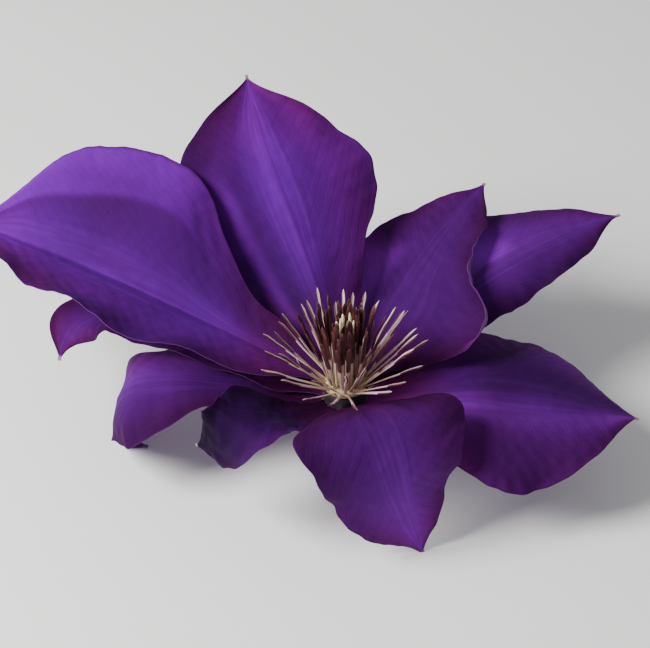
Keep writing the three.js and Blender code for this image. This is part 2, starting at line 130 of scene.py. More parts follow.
# Tepals
# Nine petal-like sepals, limp blades a third of a millimetre thick with a narrow claw at the
# receptacle, three ribs along the middle, fine side veins, waved margins and a short pale point.
# Angles are in degrees and lengths in millimetres. "left" is anticlockwise seen from above.
TEPALS = {
    "tepal_left_low": dict(
        heading=168, drop=4.6, length=66, width=34,
        rise=[0, 0, 0, 0, -2, -8, -24, -62, -94, -114, -176],
        left_half=[0.15, 0.3, 0.33, 0.42, 0.82, 1.0, 0.74, 0.26, 0.025],
        right_half=[0.1, 0.4, 0.6, 0.7, 0.66, 0.6, 0.64, 0.54, 0.025],
        left_slope=[[0, 0], [-8, -14], [-12, -20], [0, 0]],
        left_wave=[0.5, 2.2, 0.3], right_wave=[1, 3.1, 0.1],
    ),
    "tepal_right": dict(
        heading=356, drop=4.6, length=58, width=44, rise=[12, 8, -10, -18], sway=[0, 0, 2],
        left_half=[0.21, 0.52, 0.8, 1.0, 1.04, 0.97, 0.78, 0.48, 0.015],
        right_half=[0.13, 0.4, 0.62, 0.82, 0.96, 0.96, 0.8, 0.48, 0.015],
        left_slope=[[0, 0], [-4, -14], [-10, -20]], right_slope=[[0, 0], [-25, -45], [-20, -30]],
        left_wave=[0.8, 2.6, 0.4], right_wave=[0.8, 3.3, 0.55],
    ),
    "tepal_under_left": dict(
        heading=155, drop=3.45, length=67, width=30,
        rise=[4, 6, 6, 5, 4, 1, -8, -22, -26], sway=[0, 0, 0, 0, 0, 0, 12, 62, 104],
        left_half=[0.11, 0.3, 0.34, 0.34, 0.38, 0.4, 0.38, 0.36, 0.025],
        right_half=[0.11, 0.4, 0.6, 0.6, 0.6, 0.6, 0.56, 0.6, 0.025],
        left_wave=[0.8, 4.2, 0.2], right_wave=[0.6, 3.4, 0],
    ),
    "tepal_right_upper": dict(
        heading=49, drop=3.35, length=73, width=32, rise=[9, 12, 13, 7],
        sway=[0, 0, -4, -13, -22, -28, -30], roll=[0, -6, -10, -4, 0],
        left_half=[0.1, 0.42, 0.72, 0.98, 1.16, 1.16, 0.92, 0.5, 0.02],
        right_half=[0.1, 0.38, 0.5, 0.62, 0.66, 0.62, 0.54, 0.4, 0.02],
        right_slope=[[0, 0], [-4, -8], [-22, -30], [-24, -30], [0, 0]],
        left_wave=[1.2, 3.2, 0.3], right_wave=[0.9, 3.6, 0.6],
    ),
    "tepal_front_left": dict(
        heading=220, drop=3.45, length=41, width=27,
        rise=[0, 14, 36, 8, -66, -88, -80], lean=[0, 0, 0, 0, -30, -56, -64],
        left_half=[0.17, 0.42, 0.54, 0.54, 0.44, 0.3, 0.025],
        right_half=[0.17, 0.5, 0.75, 0.84, 0.66, 0.56, 0.025],
        left_slope=[[5, 10], [5, 10], [0, 0]], right_slope=[[5, 10], [5, 10], [0, 0]],
        left_wave=[0.6, 2.6, 0.2], right_wave=[0.6, 2.3, 0.5],
    ),
    "tepal_back_right": dict(
        heading=61, drop=2.3, length=61, width=38, rise=[12, 14, 12, 6],
        left_half=[0.09, 0.5, 0.8, 0.9, 0.87, 0.7, 0.42, 0.02],
        right_half=[0.09, 0.5, 1.1, 1.26, 0.8, 0.52, 0.42, 0.26, 0.02],
        right_slope=[[0, 5], [5, 26], [0, 0]], right_lip=[0, 0, 60, 90, 60, 0, 0],
        left_wave=[0.8, 3.4, 0.1], right_wave=[0.5, 2.7, 0.4],
    ),
    "tepal_front": dict(
        heading=290, drop=2.3, length=51.2, width=42,
        rise=[34, 28, -45, -88, -87, -80], lean=[0, 0, 6, 13, 15, 15],
        left_half=[0.13, 0.48, 0.86, 0.88, 0.72, 0.5, 0.3, 0.02],
        right_half=[0.12, 0.5, 0.86, 0.78, 0.7, 0.6, 0.4, 0.02],
        left_slope=[[5, 10], [0, -12], [0, 0]], right_slope=[[5, 10], [0, -14], [0, 0]],
        left_wave=[0.7, 3.1, 0.5], right_wave=[0.9, 2.8, 0.2],
    ),
    "tepal_back": dict(
        heading=101, drop=1.15, length=72, width=46, rise=[26, 32, 32, 24], sway=[0, 13, 12, -2],
        left_half=[0.075, 0.28, 0.54, 0.7, 0.78, 0.84, 0.86, 0.52, 0.015],
        right_half=[0.075, 0.28, 0.42, 0.6, 0.9, 1.0, 0.84, 0.54, 0.015],
        left_slope=[[-12, -20], [-30, -44], [-12, -24], [0, 0]], right_slope=[[0, 0], [0, -10], [0, 0]],
        left_wave=[1, 4.1, 0.35], right_wave=[0.9, 3.3, 0.15],
    ),
    "tepal_left": dict(
        heading=152, drop=0.4, length=88, width=54, rise=[9, 10, 8, 3], sway=[0, 2, 4],
        left_half=[0.065, 0.38, 0.62, 0.86, 0.95, 0.93, 0.78, 0.5, 0.015],
        right_half=[0.065, 0.25, 0.34, 0.66, 1.06, 1.12, 1.05, 0.86, 0.015],
        left_slope=[[15, 20], [24, 30], [24, 28]], right_slope=[[36, 46], [53, 20], [27, 0]],
        right_fold=[0.52, 0.68],
        left_wave=[1.1, 3.6, 0.2], right_wave=[0.7, 2.4, 0.5],
    ),
}
# painted light and shade, with some depth of colour: stations from the right margin to the left one, and
# from the claw to the tip
PAINTED_LIGHT_TONES = {
    "tepal_left_low": ([1.4, 1.1, 0.58, 0.56], [0.6, 0.8, 1, 1, 1]),
    "tepal_right": (
        [0.85, 0.66, 0.68, 0.98, 0.55, 0.4, 0.46, 1.0, 1.9], [3.4, 4, 3.8, 1.7, 0.84, 0.88, 1, 1.3, 1.6]
    ),
    "tepal_under_left": ([0.85], [1]),
    "tepal_right_upper": ([0.4, 0.6, 0.82, 0.88], [1.5, 1.5, 1.5, 1.25, 1, 1]),
    "tepal_front_left": ([0.16, 0.18, 0.18, 0.25, 0.38, 0.85], [0.8, 0.9, 0.9, 0.8, 0.4, 0.35]),
    "tepal_back_right": ([0.6, 0.6, 0.6, 0.66, 1.0], [1, 1, 1, 1.05, 1.25]),
    "tepal_front": ([0.9, 0.98, 1.04, 0.92, 0.86], [0.55, 0.55, 0.7, 1.2, 1.65, 1.8]),
    "tepal_back": ([1.5, 1.45, 1.0, 1.2, 0.68, 0.54, 0.42], [0.45, 0.5, 0.8, 1.03, 1.17]),
    "tepal_left": ([0.8, 0.56, 0.86, 1.05, 1.0], [0.75, 0.82, 0.95, 1, 1.6]),
}
# painted light: the strip beyond a turned right margin is painted paler, as if it caught the light
PAINTED_LIGHT_STRIP = {"tepal_left": 0.85}  # the strip beyond a turned right margin is paler by this much
LIGHT_LIP = {"tepal_back_right": 2.4}  # a curled right margin shows its light side
# left halves in a neighbour's shadow are painted paler, as painted light against that shadow: by how much,
# from where to where across, and along
PAINTED_SHADOW_LIFT = {
    "tepal_back": (1.8, (0.42, 0.62), (0.6, 0.76)),
    "tepal_back_right": (3.0, (0.3, 0.6), (0.5, 0.64)),
    "tepal_right_upper": (3.0, (0.0, 0.4), (0.58, 0.7)),
}
CLAW_RADIUS = 5.0
CLAW_REACH = 0.9  # how far the claw runs in to meet the receptacle
POINT_START = 0.985
POINT_HALF_WIDTH = 0.3
BLADE_ROWS = 128
BLADE_COLUMNS = 84
MIDRIB_STEPS = 240
SECTION_PARTS = 60
BLADE_THICKNESS = 0.34
MARGIN_THICKNESS = 0.14
RIB_HEIGHT = 0.2
RIB_PLACE = 0.17  # the two outer ribs, as a share of the half width
VEIN_HEIGHT = 0.045
VEIN_SPACING = 3.4
VEIN_SLANT = 1.15
VEIN_BOW = 0.018
SWELLS = 5
SWELL_HEIGHT = 0.16
CRINKLES = 9
CRINKLE_HEIGHT = 0.05
MARGIN_UNEVENNESS = 0.22


def along(stations, share):
    """Value of evenly spaced stations at a share of the way, on a smooth curve through them."""
    values = np.asarray(stations, float)
    last = len(values) - 1
    share = np.asarray(share, float)
    if last == 0:
        return np.full(share.shape, values[0])
    place = np.clip(share, 0, 1) * last
    i = np.minimum(place.astype(int), last - 1)
    f = place - i
    before, start = values[np.maximum(i - 1, 0)], values[i]
    end, after = values[i + 1], values[np.minimum(i + 2, last)]
    bend = 2 * before - 5 * start + 4 * end - after
    twist = 3 * start - before - 3 * end + after
    return 0.5 * (2 * start + (end - before) * f + bend * f**2 + twist * f**3)


def smoothstep(low, high, value):
    share = np.clip((value - low) / (high - low), 0, 1)
    return share * share * (3 - 2 * share)


def blade_frame(tepal, share):
    """Directions along, to the left of and out of the upper face of a blade."""
    rise = np.radians(along(tepal["rise"], share))[:, None]
    heading = np.radians(tepal["heading"] + along(tepal.get("sway", [0]), share))[:, None]
    lean = np.radians(along(tepal.get("lean", [0]), share))[:, None]
    roll = np.radians(along(tepal.get("roll", [0]), share))[:, None]
    tangent = np.hstack([np.cos(rise) * np.cos(heading), np.cos(rise) * np.sin(heading), np.sin(rise)])
    side = np.hstack([-np.sin(heading), np.cos(heading), 0 * heading])
    up = np.cross(tangent, side)
    forward = tangent * np.cos(lean) + side * np.sin(lean)
    left = side * np.cos(lean) - tangent * np.sin(lean)
    return forward, left * np.cos(roll) + up * np.sin(roll), up * np.cos(roll) - left * np.sin(roll)


def half_section(tepal, side, share, across):
    """Distance from and height above the midrib of one half of the blade, and its half width."""
    blade_share = np.minimum(share / POINT_START, 1)
    half_width = np.maximum(along(tepal[side + "_half"], blade_share) * tepal["width"] / 2, POINT_HALF_WIDTH)
    slopes = tepal.get(side + "_slope", [[0, 0]])
    inner, outer = [along([pair[k] for pair in slopes], share)[:, None] for k in (0, 1)]
    lip = along(tepal.get(side + "_lip", [0]), share)[:, None]
    fold_start, fold_end = tepal.get(side + "_fold", [0.25, 0.9])

    def slope_at(place):
        bent = inner + (outer - inner) * smoothstep(fold_start, fold_end, place)
        return np.radians(bent + lip * smoothstep(0.8, 0.95, place))

    slope = slope_at((np.arange(SECTION_PARTS) + 0.5) / SECTION_PARTS)
    edges = np.arange(SECTION_PARTS + 1) / SECTION_PARTS
    out = np.zeros((len(share), len(across)))
    up = np.zeros_like(out)
    for grid, steps in ((out, np.cos(slope)), (up, np.sin(slope))):
        for i in range(len(share)):
            reached = np.concatenate([[0], np.cumsum(steps[i])]) / SECTION_PARTS * half_width[i]
            grid[i] = np.interp(across, edges, reached)
    height, number, phase = tepal[side + "_wave"]
    fade = np.sqrt(np.maximum(np.sin(np.pi * blade_share), 0))
    wave = height * np.sin(2 * np.pi * (number * share + phase)) * fade
    ripple = wave[:, None] * across**2.5
    notches = np.sin(37 * share + 9 * phase) + 0.7 * np.sin(71 * share + 4 * phase)
    uneven = MARGIN_UNEVENNESS * smoothstep(0.3, 0.5, share) * fade * notches
    margin_slope = slope_at(across)
    out = out - ripple * np.sin(margin_slope) + uneven[:, None] * across**6
    up = up + ripple * np.cos(margin_slope)
    return out, up, half_width


def rib_relief(across):
    """Height of the three ribs, 0 to 1, at a signed share of the half width."""
    middle = np.exp(-((across / 0.028) ** 2))
    sides = np.exp(-(((np.abs(across) - RIB_PLACE) / 0.026) ** 2))
    return middle + 0.8 * sides


def vein_relief(distance, side_distance):
    """Side veins that leave the ribs at a slant and turn towards the tip."""
    place = distance - VEIN_SLANT * side_distance - VEIN_BOW * side_distance**2
    wander = 0.5 * np.sin(side_distance * 0.55 + distance * 0.13) + 0.3 * np.sin(distance * 0.41 + 1.3)
    phase = (place + wander) / VEIN_SPACING
    return np.exp(-((np.abs(phase - np.round(phase)) / 0.11) ** 2))


def label_mesh(mesh, name, values, domain="POINT"):
    """Keeps a number for each point or face, or one for all of them, for the materials to read."""
    layer = mesh.attributes.new(name, "FLOAT", domain)
    layer.data.foreach_set("value", (np.zeros(len(layer.data)) + values).astype(np.float32))


def tepal_mesh(name, tepal, seed):
    # rows crowd a little towards the tip, and columns towards the margins
    share = 1 - (1 - np.linspace(0, 1, BLADE_ROWS + 1)) ** 1.12
    across = np.linspace(-1, 1, BLADE_COLUMNS + 1)
    across = np.sign(across) * (1 - (1 - np.abs(across)) ** 1.15)
    forward = blade_frame(tepal, (np.arange(MIDRIB_STEPS) + 0.5) / MIDRIB_STEPS)[0]
    heading = math.radians(tepal["heading"])
    claw = np.array([math.cos(heading), math.sin(heading), 0]) * CLAW_RADIUS
    claw[2] = CENTRE_HEIGHT - tepal["drop"]
    midline = np.vstack([claw, claw + np.cumsum(forward * tepal["length"] / MIDRIB_STEPS, axis=0)])
    stations = np.linspace(0, 1, MIDRIB_STEPS + 1)
    middle = np.stack([np.interp(share, stations, midline[:, k]) for k in range(3)], -1)
    _, left, up = blade_frame(tepal, share)
    points = np.zeros((len(share), len(across), 3))
    width_here = np.zeros((len(share), len(across)))
    for side, sign in (("left", 1), ("right", -1)):
        columns = np.where(across * sign >= 0)[0]
        out, height, half_width = half_section(tepal, side, share, np.abs(across[columns]))
        points[:, columns] = middle[:, None] + left[:, None] * (sign * out)[..., None]
        points[:, columns] += up[:, None] * height[..., None]
        width_here[:, columns] = half_width[:, None]

    # the claw runs in to the receptacle
    inward = points[0] - blade_frame(tepal, np.zeros(1))[0] * CLAW_REACH
    points = np.concatenate([inward[None], points])
    share = np.concatenate([[0], share])
    width_here = np.concatenate([width_here[:1], width_here])

    normal = np.cross(np.gradient(points, axis=0), np.gradient(points, axis=1))
    normal /= np.linalg.norm(normal, axis=-1, keepdims=True)
    v = np.broadcast_to(across, points.shape[:2])
    u = np.broadcast_to(share[:, None], points.shape[:2])
    distance = u * tepal["length"]
    side_distance = np.abs(v) * width_here
    ends = smoothstep(0, 0.1, u) * (1 - smoothstep(0.9, 1, u))
    draw = np.random.default_rng(seed)
    swell = crinkle = 0
    for _ in range(SWELLS):
        waves_u, waves_v, phase = draw.uniform(2, 7), draw.uniform(-3, 3), draw.uniform(0, 6.28)
        swell = swell + np.sin(2 * np.pi * (waves_u * u + waves_v * v * 0.5) + phase)
    swell *= SWELL_HEIGHT * ends * (0.35 + 0.65 * np.abs(v)) / 2
    for _ in range(CRINKLES):
        length_waves, side_waves = draw.uniform(0.9, 2.1), draw.uniform(-1.6, 1.6)
        phase = draw.uniform(0, 6.28)
        crinkle = crinkle + np.sin(length_waves * distance + side_waves * side_distance * np.sign(v) + phase)
    swell += CRINKLE_HEIGHT * ends * (0.4 + 0.6 * np.abs(v)) * crinkle / 2
    ribs = rib_relief(v) * smoothstep(0, 0.06, u) * (1 - 0.85 * smoothstep(0.35, 1, u))
    veins = vein_relief(distance, side_distance) * ends * smoothstep(0.12, 0.3, np.abs(v))
    veins = veins * (1 - 0.6 * smoothstep(0.7, 1, np.abs(v)))
    margin = smoothstep(0.86, 1, np.abs(v))
    half = (BLADE_THICKNESS * (1 - margin) + MARGIN_THICKNESS * margin) / 2
    upper = points + normal * (half + swell + RIB_HEIGHT * 0.35 * ribs - VEIN_HEIGHT * veins)[..., None]
    under = points - normal * (half - swell + RIB_HEIGHT * ribs + VEIN_HEIGHT * 1.3 * veins)[..., None]
    sunk = np.minimum(np.minimum(upper[..., 2], under[..., 2]), 0)
    upper[..., 2] -= sunk
    under[..., 2] -= sunk

    rows, columns = points.shape[:2]
    vertices = np.vstack([upper.reshape(-1, 3), under.reshape(-1, 3)]) * MM
    vertices += (centre_x, centre_y, 0)
    number = np.arange(rows * columns).reshape(rows, columns)
    a, b, c, d = number[:-1, :-1], number[1:, :-1], number[1:, 1:], number[:-1, 1:]
    top = np.stack([a, b, c, d], -1).reshape(-1, 4)
    below = np.stack([a, d, c, b], -1).reshape(-1, 4) + rows * columns
    rim = np.concatenate([number[:-1, 0], number[-1, :-1], number[:0:-1, -1], number[0, :0:-1]])
    after = np.roll(rim, -1)
    edge = np.stack([rim, rim + rows * columns, after + rows * columns, after], -1)
    faces = np.vstack([top, below, edge])
    mesh = bpy.data.meshes.new(name + "_blade")
    mesh.from_pydata(vertices.tolist(), [], faces.tolist())
    # painted light and shade, with some depth of colour: the stations make the skin lighter or darker across
    # and along each blade
    across_tones, along_tones = PAINTED_LIGHT_TONES[name]
    tone_and_painted_light = along(across_tones, (v + 1) / 2) * along(along_tones, u)
    # painted light: the strip beyond the fold of the turned right margin is painted paler, as if lit
    fold = 0.62 - 0.2 * smoothstep(0.5, 0.92, u)
    strip = smoothstep(-0.04, 0.04, -v - fold) * smoothstep(0.25, 0.62, u) * (1 - smoothstep(0.94, 1, u))
    pale = PAINTED_LIGHT_STRIP.get(name, 0) * strip
    lip = smoothstep(0.88, 0.95, -v) * smoothstep(0.2, 0.3, u) * (1 - smoothstep(0.5, 0.64, u))
    # painted light: the skin is painted paler where a neighbour's shadow falls on a left half
    lift, (inside, outside), (near, far) = PAINTED_SHADOW_LIFT.get(name, (0, (0, 1), (0, 1)))
    painted_lift = lift * smoothstep(inside, outside, v) * (1 - smoothstep(near, far, u))
    tone_and_painted_light = tone_and_painted_light * (1 + pale + LIGHT_LIP.get(name, 0) * lip + painted_lift)
    labels = {"along": u, "across": v, "side_mm": side_distance, "along_mm": distance, "tone_and_painted_light": tone_and_painted_light}
    for label, values in {**labels, "pale": pale}.items():
        label_mesh(mesh, label, np.tile(values.ravel(), 2))
    label_mesh(mesh, "under", np.repeat([0, 1, 0.5], [len(top), len(below), len(edge)]), "FACE")
    mesh.shade_smooth()
    return mesh


def wire(tree, node, inputs):
    """Sets each input of a node to a number or colour, or links it to an output."""
    for label, source in inputs.items():
        if isinstance(source, bpy.types.NodeSocket):
            tree.links.new(source, node.inputs[label])
        else:
            node.inputs[label].default_value = source


def add_node(tree, kind, inputs=None, **settings):
    node = tree.nodes.new(kind)
    for key, value in settings.items():
        setattr(node, key, value)
    wire(tree, node, inputs or {})
    return node


def calculate(tree, operation, first, second=0.0, clamp=False):
    inputs = {0: first, 1: second}
    return add_node(tree, "ShaderNodeMath", inputs, operation=operation, use_clamp=clamp).outputs[0]


def plus(tree, first, second, clamp=False):
    return calculate(tree, "ADD", first, second, clamp)


def minus(tree, first, second):
    return calculate(tree, "SUBTRACT", first, second)


def times(tree, first, second):
    return calculate(tree, "MULTIPLY", first, second)


def ease(tree, value, start, end):
    """A smooth 0 to 1 as the value goes from start to end, which may be the lower one."""
    inputs = {"Value": value, "From Min": start, "From Max": end}
    return add_node(tree, "ShaderNodeMapRange", inputs, interpolation_type="SMOOTHSTEP").outputs["Result"]


def blend_colour(tree, amount, first, second, how="MIX"):
    inputs = {"Factor": amount, "A": first, "B": second}
    return add_node(tree, "ShaderNodeMix", inputs, data_type="RGBA", blend_type=how).outputs["Result"]


def tinted(colour, *factors):
    return (*[channel * factor for channel, factor in zip(colour, factors)], 1)


def attribute(tree, name):
    return add_node(tree, "ShaderNodeAttribute", attribute_name=name).outputs["Fac"]


def noise(tree, vector, scale, detail, roughness=0.55):
    inputs = {"Vector": vector, "Scale": scale, "Detail": detail, "Roughness": roughness}
    return add_node(tree, "ShaderNodeTexNoise", inputs).outputs["Fac"]


def vector_of(tree, x, y, z):
    return add_node(tree, "ShaderNodeCombineXYZ", {"X": x, "Y": y, "Z": z}).outputs["Vector"]


def finish_skin(tree, shader, colour, roughness, relief, strength, distance):
    """Gives a shader its colour, its roughness and a fine relief."""
    bump = add_node(tree, "ShaderNodeBump", {"Strength": strength, "Distance": distance, "Height": relief})
    wire(tree, shader, {"Base Color": colour, "Roughness": roughness, "Normal": bump.outputs["Normal"]})


def new_tree(kind, name, inputs, output):
    """A node group with these named inputs and one named output, each with its kind of socket."""
    tree = bpy.data.node_groups.new(name, kind)
    for label, socket in inputs.items():
        tree.interface.new_socket(label, in_out="INPUT", socket_type="NodeSocket" + socket)
    tree.interface.new_socket(output[0], in_out="OUTPUT", socket_type="NodeSocket" + output[1])
    return tree, tree.nodes.new("NodeGroupInput").outputs, tree.nodes.new("NodeGroupOutput")


# Side veins, as a mask: lines that leave the ribs at a slant, turn to the tip and wander a little.
VEIN_INPUTS = ("Along", "Side", "Spacing", "Slant", "Thickness", "Wander")
vein_kinds = {label: "Float" for label in VEIN_INPUTS}
vein_group, given, result = new_tree("ShaderNodeTree", "side_veins", vein_kinds, ("Mask", "Float"))
side = given["Side"]
bow = times(vein_group, times(vein_group, side, side), VEIN_BOW)
run = plus(vein_group, times(vein_group, side, given["Slant"]), bow)
place = minus(vein_group, given["Along"], run)
grain = vector_of(vein_group, given["Along"], side, 0.0)
drift = minus(vein_group, noise(vein_group, grain, 0.22, 2.0), 0.5)
place = plus(vein_group, place, times(vein_group, drift, given["Wander"]))
phase = calculate(vein_group, "DIVIDE", place, given["Spacing"])
offset = minus(vein_group, phase, calculate(vein_group, "ROUND", phase))
line = ease(vein_group, calculate(vein_group, "ABSOLUTE", offset), given["Thickness"], 0.0)
wire(vein_group, result, {"Mask": line})


def side_veins(tree, along_mm, side_mm, spacing, slant, thickness, wander):
    inputs = dict(zip(VEIN_INPUTS, (along_mm, side_mm, spacing, slant, thickness, wander)))
    return add_node(tree, "ShaderNodeGroup", inputs, node_tree=vein_group).outputs["Mask"]


def tepal_material(name, blue, warm, seed):
    """Velvety violet skin: blue and red violets that mix softly, with pale ribs, veins and a dark margin,
    and with light and shade painted in.
    """
    material, tree, shader, place = new_material(name)
    u, across = attribute(tree, "along"), attribute(tree, "across")
    along_mm, side_mm = attribute(tree, "along_mm"), attribute(tree, "side_mm")
    v = calculate(tree, "ABSOLUTE", across)
    shift = (seed * 0.37, seed * 0.19, seed * 0.53)
    spot = add_node(tree, "ShaderNodeMapping", {"Vector": place, "Location": shift}).outputs["Vector"]

    mottle = noise(tree, spot, 55.0, 4.0, 0.6)
    cloud = noise(tree, spot, 22.0, 2.0, 0.5)
    # on the strip with painted light the violet stays blue and the margin is not darkened
    cool = minus(tree, 1.0, attribute(tree, "pale"))
    warm_margin = times(tree, ease(tree, v, 0.15, 1.0), 0.55)
    warm_amount = plus(tree, warm_margin, times(tree, ease(tree, u, 0.6, 1.0), 0.35))
    warm_amount = plus(tree, warm_amount, times(tree, minus(tree, cloud, 0.5), 1.9), clamp=True)
    colour = blend_colour(tree, times(tree, warm_amount, cool), blue, warm)

    streaks = vector_of(tree, times(tree, along_mm, 0.05), times(tree, across, 16.0), float(seed))
    streak = noise(tree, streaks, 1.0, 3.0, 0.6)
    bar = times(tree, ease(tree, v, 0.42, 0.12), ease(tree, streak, 0.35, 0.75))
    colour = blend_colour(tree, times(tree, bar, 0.7), colour, tinted(blue, 1.35, 2.2, 1.5))
    middle_rib = ease(tree, v, 0.04, 0.006)
    outer_rib = ease(tree, calculate(tree, "ABSOLUTE", minus(tree, v, RIB_PLACE)), 0.032, 0.004)
    rib_fade = plus(tree, times(tree, ease(tree, u, 1.0, 0.45), 0.6), 0.2)
    rib = times(tree, calculate(tree, "MAXIMUM", middle_rib, outer_rib), rib_fade)
    colour = blend_colour(tree, times(tree, rib, 0.45), colour, tinted(blue, 1.5, 1.9, 1.35))

    coarse = side_veins(tree, along_mm, side_mm, VEIN_SPACING, VEIN_SLANT, thickness=0.14, wander=2.4)
    fine = side_veins(tree, along_mm, side_mm, 1.15, 0.75, thickness=0.3, wander=3.0)
    vein = plus(tree, times(tree, coarse, 0.1), times(tree, fine, 0.05))
    vein = times(tree, vein, ease(tree, v, 0.14, 0.3))
    deep = tinted(warm, 0.55, 0.4, 0.62)
    colour = blend_colour(tree, vein, colour, deep)
    stain = times(tree, ease(tree, u, 0.36, 0.08), ease(tree, streak, 0.12, 0.6))
    colour = blend_colour(tree, times(tree, stain, 0.8), colour, (0.08, 0.0035, 0.038, 1))

    margin_dark = times(tree, times(tree, ease(tree, v, 0.4, 1.0), 0.34), cool)
    shade = times(tree, plus(tree, times(tree, mottle, 0.8), 0.64), minus(tree, 1.0, margin_dark))
    # painted light and shade: the skin is made lighter or darker by each blade's stations
    shade = times(tree, shade, attribute(tree, "tone_and_painted_light"))
    grey = add_node(tree, "ShaderNodeCombineColor", {"Red": shade, "Green": shade, "Blue": shade})
    colour = blend_colour(tree, 1.0, colour, grey.outputs["Color"], "MULTIPLY")
    colour = blend_colour(tree, times(tree, ease(tree, v, 0.955, 1.0), 0.6), colour, deep)
    point = times(tree, ease(tree, u, 0.978, 0.997), 0.75)
    colour = blend_colour(tree, point, colour, (0.4, 0.24, 0.3, 1))
    underside = blend_colour(tree, 0.5, colour, (0.22, 0.11, 0.3, 1))
    underside = blend_colour(tree, times(tree, rib, 0.75), underside, (0.2, 0.2, 0.19, 1))
    colour = blend_colour(tree, attribute(tree, "under"), colour, underside)

    cells = noise(tree, spot, 2600.0, 2.0, 0.5)
    crease = noise(tree, spot, 260.0, 3.0)
    relief = plus(tree, times(tree, cells, 0.2), times(tree, crease, 0.5))
    relief = minus(tree, relief, times(tree, vein, 1.6))
    relief = plus(tree, relief, times(tree, streak, 0.35))
    roughness = plus(tree, times(tree, mottle, 0.2), 0.6)
    finish_skin(tree, shader, colour, roughness, relief, strength=0.35, distance=0.35 * MM)
    wire(tree, shader, {
        "Specular IOR Level": 0.1, "Specular Tint": (0.55, 0.3, 1.0, 1),
        "Sheen Weight": 0.02, "Sheen Roughness": 0.45, "Sheen Tint": (0.4, 0.15, 1.0, 1),
        "Subsurface Weight": 0.12, "Subsurface Radius": (0.7, 0.15, 1.0), "Subsurface Scale": 1.2 * MM,
    })
    return material


# painted shade: the tepals that lie in shade get a duller, less blue copy of the violet
LIT_TEPALS = ("tepal_left", "tepal_back")
LIT_BLUE, LIT_WARM = (0.07, 0.0035, 0.17, 1), (0.072, 0.0028, 0.082, 1)
SHADE_BLUE, SHADE_WARM = (0.068, 0.0048, 0.137, 1), (0.069, 0.0039, 0.066, 1)
for seed, (name, tepal) in enumerate(TEPALS.items(), 1):
    mesh = tepal_mesh(name, tepal, seed)
    blue, warm = (LIT_BLUE, LIT_WARM) if name in LIT_TEPALS else (SHADE_BLUE, SHADE_WARM)
    mesh.materials.append(tepal_material(name + "_skin", blue, warm, seed))
    blade = add_object(name + "_blade", mesh)
    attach(blade, "root")
    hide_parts(name)


# Stamens
# Some ninety flat, pale filaments that each broaden into an anther: two dark maroon pollen sacs with a
# pale strip between them. The outer ones spread like rays, and the inner ones stand up in a column.
RING_TOP = CENTRE_HEIGHT + 0.5
FILAMENT_THICKNESS = 0.26
ANTHER_THICKNESS = 0.42
SAC_START = 0.07  # the pollen sacs reach their full width over this share of the length


def circle(number):
    return [(math.cos(2 * math.pi * k / number), math.sin(2 * math.pi * k / number)) for k in range(number)]


def stacked_mesh(name, rings):
    """A closed skin round a stack of rings, each with the same number of points."""
    around = len(rings[0])
    last = (len(rings) - 1) * around
    faces = []
    for start in range(0, last, around):
        for k in range(around):
            a, b = start + k, start + (k + 1) % around
            faces.append((a, b, b + around, a + around))
    faces += [tuple(range(around))[::-1], tuple(range(last, last + around))]
    mesh = bpy.data.meshes.new(name)
    mesh.from_pydata([point for ring in rings for point in ring], [], faces)
    mesh.shade_smooth()
    return mesh


def stamen_template(name, filament_width, anther_width, anther_start, strip):
    """One stamen along +X, a unit long and with its widths in millimetres."""
    shares = np.concatenate([np.linspace(0, anther_start, 8), np.linspace(anther_start, 1, 15)[1:]])
    outline = circle(14)
    rings, anther = [], []
    for share in shares:
        into = smoothstep(anther_start - 0.03, anther_start + SAC_START, share)
        tip = max(math.sqrt(1 - smoothstep(0.9, 1.0, share) ** 2), 0.12)
        filament = filament_width * (1.25 - 0.5 * smoothstep(0, 0.3, share) + 0.35 * share)
        width = (filament * (1 - into) + anther_width * into) * tip
        ring = []
        for side, out in outline:
            groove = 1 - into * 0.45 * math.exp(-((side / 0.34) ** 2))
            thick = (FILAMENT_THICKNESS * (1 - into) + ANTHER_THICKNESS * into) * groove * tip
            ring.append((share, side * width / 2, out * thick / 2))
            anther.append(into * float(abs(side) > strip))
        rings.append(ring)
    mesh = stacked_mesh(name, rings)
    label_mesh(mesh, "anther", anther)
    label_mesh(mesh, "length_share", np.repeat(shares, len(outline)))
    return bpy.data.objects.new(name, mesh)


def random_value(tree, low, high, seed, identity=None):
    inputs = {2: low, 3: high, "Seed": seed}
    if identity is not None:
        inputs["ID"] = identity
    return add_node(tree, "FunctionNodeRandomValue", inputs, data_type="FLOAT").outputs[1]


def move_vector(tree, operation, inputs):
    return add_node(tree, "ShaderNodeVectorMath", inputs, operation=operation).outputs[0]


def new_geometry_tree(name, inputs):
    inputs = {"Geometry": "Geometry", "Finish": "Material", **inputs}
    return new_tree("GeometryNodeTree", name, inputs, ("Geometry", "Geometry"))


def end_tree(tree, result, geometry, finish):
    """Ends a tree with real geometry in its material."""
    whole = add_node(tree, "GeometryNodeRealizeInstances", {"Geometry": geometry}).outputs[0]
    finished = add_node(tree, "GeometryNodeSetMaterial", {"Geometry": whole, "Material": finish})
    wire(tree, result, {"Geometry": finished.outputs[0]})


